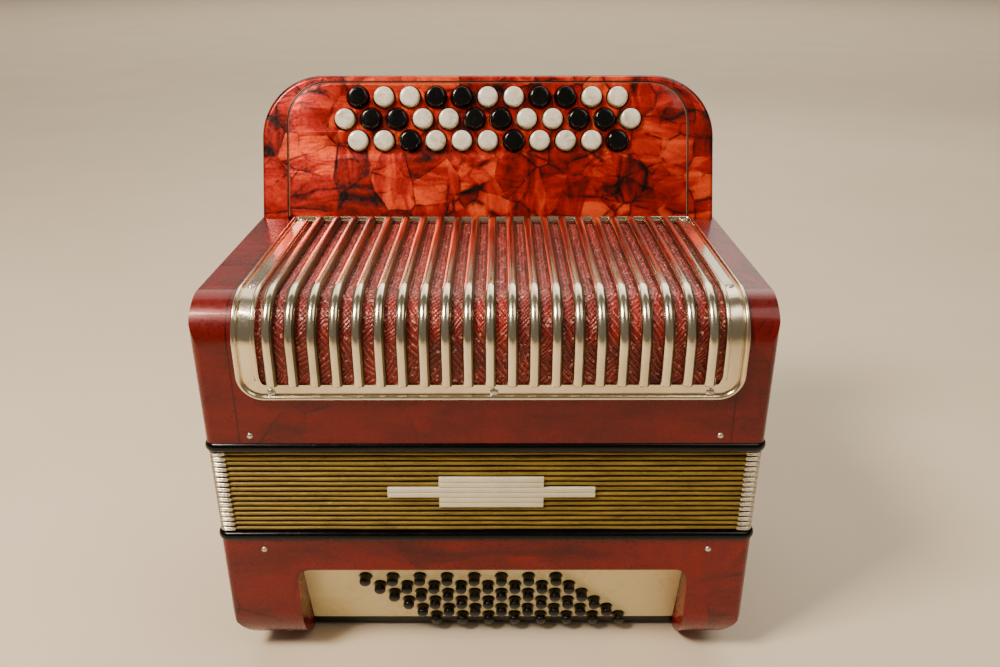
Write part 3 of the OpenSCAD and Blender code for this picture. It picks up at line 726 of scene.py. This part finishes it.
def key(k):
    r, _ = row_col(k)
    x, s = key_x(k), ROW_S[r]
    xl = x + LDX[r]
    dark = k in DARK
    b = Build()
    # cap with a slightly domed top and a rounded rim
    prof = [(0, -5.0), (2.0, -4.99), (4.2, -4.93), (5.6, -4.8), (6.3, -4.62), (6.85, -4.28), (7.2, -3.8), (7.38, -3.2), (7.44, -2.4), (7.5, -1.6), (7.5, 0.5), (7.5, 2.2), (7.3, 2.7), (6.6, 2.98), (0, 2.98)]
    v, f = lathe(prof, 40)
    rot = rng.uniform(0, 2 * pi)
    P = FBP(np.stack([x + v[:, 0], v[:, 2], s + v[:, 1]], -1))
    mid = np.array([v[list(q), 2].mean() for q in f])
    b.add(P, f, [0 if z < -2.6 else 1 for z in mid])
    # peg
    v, f = lathe([(0, 3.05), (2.2, 3.05), (2.5, 3.3), (2.5, 8.2), (2.2, 8.44), (0, 8.44)], 20)
    b.add(FBP(np.stack([xl + v[:, 0], v[:, 2], s + v[:, 1]], -1)), f, 2)
    # bell-crank lever
    def loc(d, sl):
        q = FBP([0, d, sl]); return (q[1] - Y0, q[2])
    R = 4.5
    q1 = loc(13, AXS + math.sqrt(R * R - 2.5 ** 2)); q2 = loc(8.5, AXS + math.sqrt(R * R - 4.0))
    a_r0 = math.atan2(-math.sqrt(R * R - 6.25), 2.5); a_r1 = math.atan2(q1[1] - AX_Z, q1[0] - AX_Y)
    a_l0 = math.atan2(q2[1] - AX_Z, q2[0] - AX_Y); a_l1 = math.atan2(-math.sqrt(R * R - 9), -3.0) % (2 * pi)
    arc = lambda a, c, n: [(AX_Y + R * cos(a + (c - a) * i / n), AX_Z + R * sin(a + (c - a) * i / n)) for i in range(n + 1)]
    py = PY[r]
    pts = [(py - 4, ARM_Z), (AX_Y + 1.5, ARM_Z), (AX_Y + 2.5, ARM_Z + 1)]
    pts += arc(a_r0, a_r1, 8) + [loc(13, s + 3), loc(12, s + 4), loc(9.5, s + 4), loc(8.5, s + 3)] + arc(a_l0, a_l1, 6)
    pts += [(AX_Y - 3, ARM_Z + 6), (AX_Y - 4, ARM_Z + 5), (py - 3, ARM_Z + 5), (py - 4, ARM_Z + 4)]
    pts = np.array(pts)
    rg = []
    for xx, off in ((-1.5, 0.0), (-1.5, 0.0), (1.5, 0.0)):
        rg.append(np.stack([np.full(len(pts), xl + xx), pts[:, 0] + Y0, pts[:, 1]], -1))
    v, f = loft(np.array(rg[1:]))
    b.add(v, f, 2)
    v, f = rbox((xl - 1.5, py - 4 + Y0, SB_TOP + 5.02), (xl + 1.5, py + 4 + Y0, ARM_Z - 0.02), 0.4)
    b.add(v, f, 2)
    # pallet: wooden block, leather face
    v, f = rbox((xl - 7.5, py - 12 + Y0, SB_TOP + 1.4), (xl + 7.5, py + 12 + Y0, SB_TOP + 5), 0.5)
    b.add(v, f, 2)
    v, f = rbox((xl - 7.4, py - 11.9 + Y0, SB_TOP + 0.02), (xl + 7.4, py + 11.9 + Y0, SB_TOP + 1.38), 0.4)
    b.add(v, f, 3)
    o = b.done(f"key_{k + 1:02d}", [M["blackkey"], M["blackkey"], M["wood2"], M["felt"]] if dark else [M["pearl"], M["pearl_side"], M["wood2"], M["felt"]])
    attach(o, f"treble_key_{k + 1:02d}"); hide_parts(f"treble_key_{k + 1:02d}")


for k in range(34):
    key(k)


def ring_plan(o, z, r, fx=(), nc=8, side=6):
    """Casing outline in plan, grown by o, with extra points at given x along the front."""
    hw, y0, y1 = BW / 2 + o, -o, BD + o
    pts = []
    def arc(cx, cy, t0):
        for i in range(nc + 1):
            t = t0 + pi / 2 * i / nc
            pts.append((cx + r * cos(t), cy + r * sin(t)))
    arc(-hw + r, y0 + r, pi)
    for x in fx:
        pts.append((x, y0))
    arc(hw - r, y0 + r, 1.5 * pi)
    for i in range(1, side):
        pts.append((hw, y0 + r + (y1 - y0 - 2 * r) * i / side))
    arc(hw - r, y1 - r, 0)
    for x in fx[::-1]:
        pts.append((x, y1))
    arc(-hw + r, y1 - r, pi / 2)
    for i in range(1, side):
        pts.append((-hw, y1 - r - (y1 - y0 - 2 * r) * i / side))
    p = np.array(pts)
    return np.stack([p[:, 0], p[:, 1] + Y0, np.full(len(p), z)], -1)


FX = list(np.linspace(-150, 150, 31))


def gasket(name, node, z0, z1, body):
    zc, hh = (z0 + z1) / 2, (z1 - z0) / 2
    rings = [ring_plan(-24, z0 + 0.02, 2, FX), ring_plan(-0.6, z0 + 0.02, 5, FX)]
    for a in np.linspace(-82, 82, 13):
        c, s = cos(radians(a)), sin(radians(a))
        o = -0.6 + 2.4 * c
        rings.append(ring_plan(o, zc + hh * 0.985 * s, 6.4 + o, FX))
    rings += [ring_plan(-0.6, z1 - 0.02, 5, FX), ring_plan(-24, z1 - 0.02, 2, FX)]
    v, f = loft(np.array(rings), loop=True)
    # slight waves of hand-laid celluloid
    v = v.copy()
    v[:, 2] += 0.10 * np.sin(v[:, 0] * 0.05 + z0) * (np.abs(v[:, 1] - Y0) < 3)
    o = make(name, v, f, M["black"], sharp=60)
    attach(o, body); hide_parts(node)


gasket("gasket_bead_treble", "treble_gasket", Z_B2, Z_T, "treble_side")
gasket("gasket_bead_bass", "bass_gasket", Z_G1, Z_B1, "bass_side")


def open_even(ob):
    """Bakes the piece's placement into its mesh."""
    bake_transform(ob)


def open_rigid(ob):
    """Bakes the piece's placement into its mesh."""
    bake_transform(ob)


SECT = [(-15, 0.005), (-9, 0.06), (-3.2, 0.145), (-2.3, 0.175), (-1.75, 0.235), (-1.35, 0.34), (-1.2, 0.5), (-1.35, 0.66), (-1.75, 0.765), (-2.3, 0.825),
        (-3.2, 0.855), (-9, 0.94), (-15, 0.995), (-15.6, 0.95), (-9, 0.74), (-4.2, 0.5), (-9, 0.26), (-15.6, 0.05)]
for i in range(FOLDS):
    za = Z_B1 + i * FP
    wob = 0.05 * FP * sin(i * 1.9)
    rings = []
    for o, t in SECT:
        rg = ring_plan(o, za + t * FP, max(5 + o, 1.2), FX)
        # hand-made folds wander a little along their length
        amp = 0.07 * (1 - abs(2 * t - 1))
        rg[:, 2] += amp * FP * (np.sin(rg[:, 0] * 0.043 + i * 2.1) + 0.5 * np.sin(rg[:, 0] * 0.11 + i))
        rings.append(rg)
    v, f = loft(np.array(rings), loop=True)
    n = rings[0].shape[0]
    idx = []
    for q in range(len(SECT)):
        a, b2 = SECT[q][0], SECT[(q + 1) % len(SECT)][0]
        # painted shade: faces deeper than the ridge tape get the darker valley material
        m = 0 if min(a, b2) >= -3.3 else 1
        idx += [m] * n
    o = make(f"bellows_fold_{i + 1:02d}", v, f, [M["tape"], M["valley"]], idx, sharp=60)
    open_even(o)
    # metal corners with a rolled loop over each ridge
    b = Build()
    zc = za + FP / 2
    for sx in (-1, 1):
        for sy in (0, 1):
            path = []
            hw = BW / 2
            for t in np.linspace(10.5, 5.2, 5):
                path.append((hw - t, 0, 0, -1))
            for a in np.linspace(0, 90, 9)[1:-1]:
                path.append((hw - 5 + 5 * sin(radians(a)), 5 - 5 * cos(radians(a)), sin(radians(a)), -cos(radians(a))))
            for t in np.linspace(5.2, 10.5, 5):
                path.append((hw, t, 1, 0))
            path = np.array(path)
            rg = []
            for j, (px, py, nx, ny) in enumerate(path):
                e = min(j, len(path) - 1 - j)
                k = [0.55, 0.9, 1.0][min(e, 2)]
                sec = []
                # two rounded loops, one above the other
                for a in np.linspace(-100, 80, 7):
                    sec.append((-1.25 + 0.95 * k * cos(radians(a)), -0.66 * 1 + 0.70 * k * sin(radians(a))))
                for a in np.linspace(-80, 100, 7):
                    sec.append((-1.25 + 0.95 * k * cos(radians(a)), 0.66 * 1 + 0.70 * k * sin(radians(a))))
                sec += [(-4.6, 1.15), (-4.6, -1.15)]
                rg.append([(sx * (px + nx * o2), (py + ny * o2 if sy == 0 else BD - (py + ny * o2)) + Y0, zc + z2) for o2, z2 in sec])
            v, f = loft(np.array(rg))
            b.add(v, f)
    c = b.done(f"bellows_corners_{i + 1:02d}", M["corner"], 40)
    open_rigid(c)
    # cream inlay strips on the middle folds
    if 5 <= i <= 10:
        hwid = 64.7 if i in (7, 8) else 32.6
        v, f = rbox((GX - hwid, Y0 + 0.25, zc - 1.66), (GX + hwid, Y0 + 2.2, zc + 1.66), 0.28, 3)
        s = make(f"bellows_inlay_{i + 1:02d}", v, f, M["inlay"])
        open_rigid(s)
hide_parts("bellows")


# ------------------------------------------------------------------ bass side
def bass_board():
    out = rrect(RX - 126.95, RX + 126.95, 0.3, 68.9, [1.0, 1.0, 6.0, 6.0], 8)
    loops = [out]
    for r in range(6):
        for c in range(8):
            loops.append(np.array(circle(-81.7 + 9.15 * r + 18.3 * c, 48 - 8.92 * r, 4.5, 28)))
    o = plate("button_board", loops, 2.95, 0.25, M["cream"], lambda v: BBP(np.stack([v[:, 0], 2.98 - v[:, 2], v[:, 1]], -1)))
    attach(o, "bass_side"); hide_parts("bass_button_board")


bass_board()


def bass_row(r):
    b = Build()
    prof = [(0, -7.0), (1.2, -6.93), (2.2, -6.66), (3.0, -6.2), (3.5, -5.6), (3.75, -4.9), (3.8, -4.2), (3.8, -0.6), (3.8, 5.5), (3.6, 7.3), (0, 7.5)]
    x0, s = -81.7 + 9.15 * r, 48 - 8.92 * r
    for c in range(8):
        v, f = lathe(prof, 24)
        b.add(BBP(np.stack([x0 + 18.3 * c + v[:, 0], v[:, 2], s + v[:, 1]], -1)), f, 0)
    v, f = rbox((x0 - 4, 7.55, s - 1.4), (x0 + 7 * 18.3 + 4, 10.05, s + 3.0), 0.5)
    b.add(BBP(v), f, 1)
    o = b.done(f"bass_row_{r + 1}", [M["blackkey"], M["alu"]])
    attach(o, f"bass_buttons_row_{r + 1}"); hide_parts(f"bass_buttons_row_{r + 1}")


for r in range(6):
    bass_row(r)


def end_cover():
    hole = np.array(circle(-100, 160, 5.5, 32))
    o = plate("end_cover_plate", [rrect(-118, 118, 42, 186, 3, 6), hole], 3, 0.5, M["cover"], lambda v: np.stack([v[:, 0], v[:, 1] + Y0, 10 + v[:, 2]], -1))
    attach(o, "bass_side"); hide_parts("bass_end_cover")
    b = Build()
    v, f = rbox((-118, 42 + Y0, 5.6), (118, 44.9 + Y0, 12.6), 0.5); b.add(v, f)
    v, f = rbox((RX - 126.5, 29.0 + Y0, 2.2), (RX + 126.5, 45 + Y0, 8.2), 0.8); b.add(v, f)
    o = b.done("end_cover_lip", M["cover"])
    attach(o, "bass_side")


end_cover()


def air():
    x, y = -100, 160 + Y0
    v, f = lathe([(0, 5.0), (3.2, 5.08), (4.3, 5.4), (4.8, 5.9), (5.0, 6.6), (5.0, 13.5), (7.7, 13.5), (8.0, 13.8), (8.0, 15.7), (7.7, 16.0), (2.5, 16.0), (2.5, 35.6), (2.1, 36.0), (0, 36.0)], 36)
    o = make("air_button_stem", np.stack([x + v[:, 0], y + v[:, 1], v[:, 2]], -1), f, M["blackkey"])
    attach(o, "air_button"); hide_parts("air_button")


air()


def strap():
    y0, y1, zb, zt = 62 + Y0, 122 + Y0, 1.25, 4.4
    b = Build()
    xs = np.concatenate([[-126.8, -126.5, -125.8], np.linspace(-122, 122, 60), [125.8, 126.5, 126.8]])
    rg = []
    for x in xs:
        k = 1 - 0.35 * max(0, abs(x) - 125.5) / 1.3
        sag = 0.25 * cos(pi * x / 254)
        th = np.linspace(0, 2 * pi, 40, endpoint=False)
        hw, ht = (y1 - y0) / 2, (zt - zb) / 2
        # flat band with rounded sides and a raised padded middle
        cy, sz = np.cos(th), np.sin(th)
        py = np.sign(cy) * np.abs(cy) ** 0.25 * hw
        pz = np.sign(sz) * np.abs(sz) ** 0.6 * ht * (0.72 + 0.28 * np.cos(np.clip(np.abs(py) / hw, 0, 1) * pi / 2))
        rg.append(np.stack([np.full(40, x + RX), (y0 + y1) / 2 + py, (zb + zt) / 2 + pz * k], -1))
    v, f = loft(np.array(rg)); b.add(v, f, 0)
    for side in (-1, 1):
        for x in np.arange(-122, 122, 4.2):
            v, f = rbox((RX + x - 1.3, (y0 + y1) / 2 + side * 26 - 0.35, zb + 0.02), (RX + x + 1.3, (y0 + y1) / 2 + side * 26 + 0.35, zb + 0.75), 0.25, 2)
            b.add(v, f, 1)
    o = b.done("hand_strap_band", [M["leather"], M["thread"]])
    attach(o, "bass_side"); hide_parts("hand_strap")


strap()


def slot_head(r, ang=0.5, slot=True):
    """Round screw head: dome on its foot, with a sunk slot across it. Axis +z, foot at 0."""
    n = 28
    prof = [(0.0, r * 0.52), (r * 0.35, r * 0.50), (r * 0.62, r * 0.42), (r * 0.82, r * 0.28), (r * 0.95, r * 0.12), (r, 0.02), (r * 0.98, -0.1), (0, -0.1)]
    bm = bmesh.new()
    v, f = lathe(prof, n)
    vs = [bm.verts.new(p) for p in v]
    for q in f:
        bm.faces.new([vs[i] for i in q])
    bmesh.ops.recalc_face_normals(bm, faces=bm.faces)
    if slot:
        w = r * 0.13
        d = Vector((cos(ang), sin(ang), 0)); nrm = Vector((-sin(ang), cos(ang), 0))
        for s in (-1, 1):
            bmesh.ops.bisect_plane(bm, geom=bm.verts[:] + bm.edges[:] + bm.faces[:], plane_co=nrm * (s * w), plane_no=nrm, dist=1e-6)
            bmesh.ops.bisect_plane(bm, geom=bm.verts[:] + bm.edges[:] + bm.faces[:], plane_co=nrm * (s * w * 0.9), plane_no=nrm, dist=1e-6)
        for q in bm.verts:
            if abs(q.co.dot(nrm)) < w * 0.95 and q.co.z > 0.05:
                q.co.z = max(q.co.z - r * 0.30, 0.06)
    bm.verts.index_update()
    V = np.array([tuple(q.co) for q in bm.verts]); F = [tuple(q.index for q in fc.verts) for fc in bm.faces]
    bm.free()
    return V, F


def aim(v, at, axis):
    """Turns a shape built along +z to look along axis at a point (world mm)."""
    q = Vector((0, 0, 1)).rotation_difference(Vector(axis).normalized()).to_matrix()
    return v @ np.array(q).T + np.array(at)


def fittings():
    b = Build()
    for j, x in enumerate([-129, 2, 129]):
        v, f = slot_head(2.6, 0.4 + j); b.add(aim(v, (GX + x, Y0 - 1.2, GR_Z + 5.4), (0, -1, 0)), f)
    for sx in (-1, 1):
        v, f = slot_head(2.6, 1.1 * sx); b.add(aim(v, (GX + sx * 141.8, FRONT_R + 2 + Y0, Z_TOP + 1.2), (0, 0, 1)), f)
        v, f = slot_head(2.6, 0.8); b.add(aim(v, (GX + sx * 141.8, 169.5 + Y0, Z_TOP + 1.2), (0, 0, 1)), f)
        v, f = slot_head(2.0, 0, False); b.add(aim(v, (sx * 142, Y0, Z_T + 5), (0, -1, 0)), f)
        v, f = slot_head(2.0, 0, False); b.add(aim(v, (sx * 142, Y0 + BD, Z_T + 5), (0, 1, 0)), f)
        # strap bracket: plate with two screws, and an eye
        xb, yb, zb = sx * 120, Y0 + BD, Z_T + 44
        v, f = rbox((xb - 9, yb + 0.02, zb - 14), (xb + 9, yb + 1.6, zb + 14), 0.6, 3); b.add(v, f)
        for dz in (-10.5, 10.5):
            v, f = slot_head(2.4, 0.7 + dz); b.add(aim(v, (xb, yb + 1.6, zb + dz), (0, 1, 0)), f)
        # eye plate with a round hole, lofted round the hole
        rg = []
        na = 40
        for k in range(na):
            t = 2 * pi * k / na
            dy, dz = cos(t), sin(t)
            ro = 7.9
            yo = 8.6 + ro * dy * (0.88 if dy > 0 else 0.86)
            zo = ro * dz
            if dy < -0.2:
                yo = max(yo, 1.3); zo = max(-7.9, min(7.9, zo * 1.25))
            yi, zi = 8.6 + 4.0 * dy, 4.0 * dz
            sec = []
            for px, q in ((-1.5, 0.12), (-1.2, 0.0), (1.2, 0.0), (1.5, 0.12), (1.5, 0.9), (1.2, 1.0), (-1.2, 1.0), (-1.5, 0.9)):
                sec.append((xb + px, yb + yi + (yo - yi) * q, zb + zi + (zo - zi) * q))
            rg.append(sec)
        v, f = loft(np.array(rg), loop=True); b.add(v, f)
    o = b.done("screws_and_brackets_treble", M["steel"], 35)
    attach(o, "treble_side"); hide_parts("treble_fittings")
    b = Build()
    for sx in (-1, 1):
        for y, ax in ((Y0, -1), (Y0 + BD, 1)):
            v, f = slot_head(2.0, 0, False); b.add(aim(v, (sx * 142.5, y, Z_G1 - 7), (0, ax, 0)), f)
        for y in (50, 140, 178):
            v, f = slot_head(2.4, 0.3 + y); b.add(aim(v, (sx * 112, y + Y0, 10.0), (0, 0, -1)), f)
    o = b.done("screws_bass", M["steel"], 35)
    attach(o, "bass_side"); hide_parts("bass_screws")


fittings()


def bass_shell():
    """The bass casing with fully rounded feet: the CAD solid's surface, trimmed by two rounded prisms."""
    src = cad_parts["bass_casing"]
    bm = bmesh.new(); bm.from_mesh(src.data); bm.transform(src.matrix_world)
    bmesh.ops.remove_doubles(bm, verts=bm.verts, dist=1e-6)
    me = bpy.data.meshes.new("bass_shell_src"); bm.to_mesh(me); bm.free()
    a = bpy.data.objects.new("bass_shell_src", me)
    bpy.context.scene.collection.objects.link(a)
    rs, re, top, n = 40.0, 38.0, Z_G1 + 30, 20
    def side(x0, x1, r):
        lo = [(x0 + r - r * cos(t), r - r * sin(t)) for t in np.linspace(0, pi / 2, n)]
        hi = [(x1 - r + r * sin(t), r - r * cos(t)) for t in np.linspace(0, pi / 2, n)]
        return np.array(lo + hi + [(x1, top), (x0, top)])
    e = 0.02
    px = side(-BW / 2 - e, BW / 2 + e, rs); py = side(Y0 - e, Y0 + BD + e, re)
    prisms = [np.stack([np.stack([px[:, 0], np.full(len(px), y), px[:, 1] - e], -1) for y in (Y0 - 20, Y0 + BD + 20)]),
              np.stack([np.stack([np.full(len(py), x), py[:, 0], py[:, 1] - e], -1) for x in (-BW / 2 - 20, BW / 2 + 20)])]
    tools = []
    for k, rg in enumerate(prisms):
        v, f = loft(rg)
        t = make(f"bass_shell_tool_{k}", v, f, M["bass_red"], smooth=False)
        tools.append(t)
        m = a.modifiers.new(f"trim_{k}", "BOOLEAN"); m.operation = "INTERSECT"; m.solver = "EXACT"; m.object = t
    bpy.context.view_layer.update()
    out = bpy.data.meshes.new_from_object(a.evaluated_get(bpy.context.evaluated_depsgraph_get()))
    for t in tools + [a]:
        bpy.data.objects.remove(t)
    out.materials.clear(); out.materials.append(M["bass_red"])
    out.polygons.foreach_set("material_index", np.zeros(len(out.polygons), dtype=np.int32))
    out.polygons.foreach_set("use_smooth", np.ones(len(out.polygons), dtype=bool))
    out.set_sharp_from_angle(angle=radians(28))
    out.update()
    o = bpy.data.objects.new("bass_shell", out)
    bpy.context.scene.collection.objects.link(o)
    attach(o, "bass_side"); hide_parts("bass_casing")
    v = np.array([tuple(q.co) for q in out.vertices])
    print("bass_shell", len(v), v.min(0), v.max(0))


bass_shell()


def recess_corners():
    """Concave fillets in the upper corners of the front recess."""
    R = 8.5
    for sx, nm in ((-1, "recess_corner_left"), (1, "recess_corner_right")):
        prof = [(127.3, 72.3), (127.3 - 0.3 - R, 72.3), (127 - R, 72)]
        for a in np.linspace(90, 0, 10)[1:]:
            prof.append((127 - R + R * cos(radians(a)), 72 - R + R * sin(radians(a))))
        prof.append((127.3, 72 - R))
        p = np.array(prof)
        rg = [np.stack([RX + sx * p[:, 0], np.full(len(p), y + Y0), p[:, 1]], -1) for y in (0.05, 0.4, 6.0, 12.0, 13.4)]
        v, f = loft(np.array(rg))
        o = make(nm, v, f, M["bass_red"])
        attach(o, "bass_side")


recess_corners()



# ------------------------------------------------------------------ floor, light, camera
def floor():
    m = Mat("floor_paint", IOR=1.45)
    a = m.noise(3.0, 4, 0.6)
    fine = m.noise(160, 3, 0.6)
    col = m.ramp(a, [(0.3, "#dccbb0"), (0.7, "#e2d2b8")])
    m.set(Base_Color=col, Roughness=m.rng(fine, 0.5, 0.62), Normal=m.bump(fine, 0.0002, 0.2))
    n = 24
    v, f = [], []
    for j in range(n + 1):
        for i in range(n + 1):
            v.append(((i / n - 0.5) * 44000, (j / n - 0.5) * 44000, -0.05))
    for j in range(n):
        for i in range(n):
            k = j * (n + 1) + i
            f.append((k, k + 1, k + n + 2, k + n + 1))
    o = make("studio_floor", v, f, m.m, recalc=False)


floor()


def area(name, loc, target, size, power, color, sy=None):
    li = bpy.data.lights.new(name, "AREA")
    li.shape = "RECTANGLE" if sy else "SQUARE"
    li.size = size
    if sy:
        li.size_y = sy
    li.energy = power; li.color = color
    o = bpy.data.objects.new(name, li)
    bpy.context.scene.collection.objects.link(o)
    o.location = loc
    o.rotation_euler = (Vector(target) - Vector(loc)).to_track_quat("-Z", "Y").to_euler()
    return o


area("key_light", (-0.85, -0.60, 1.45), (0, 0, 0.15), 0.42, 38, (1.0, 0.87, 0.72))
area("top_fill", (0.75, -0.6, 1.5), (0, 0, 0.15), 0.7, 5, (1.0, 0.90, 0.78))
area("back_fill", (0.5, 1.7, 1.4), (0, 0.1, 0.15), 1.6, 10, (1.0, 0.92, 0.82))
area("far_floor", (0.0, 7.0, 5.5), (0.0, 7.0, 0.0), 10.0, 620, (1.0, 0.90, 0.78))

w = bpy.data.worlds.new("studio")
bpy.context.scene.world = w
w.use_nodes = True
w.node_tree.nodes["Background"].inputs[0].default_value = (0.66, 0.58, 0.47, 1)
w.node_tree.nodes["Background"].inputs[1].default_value = 0.26

cam = bpy.data.cameras.new("camera")
co = bpy.data.objects.new("camera", cam)
bpy.context.scene.collection.objects.link(co)
co.location = (0.0092, -0.5649, 0.4361)
co.rotation_euler = (radians(90 - 23.62), radians(0.06), 0)
cam.sensor_width = 36
cam.lens = 30.85
cam.clip_start = 0.01
bpy.context.scene.camera = co

bpy.context.view_layer.update()
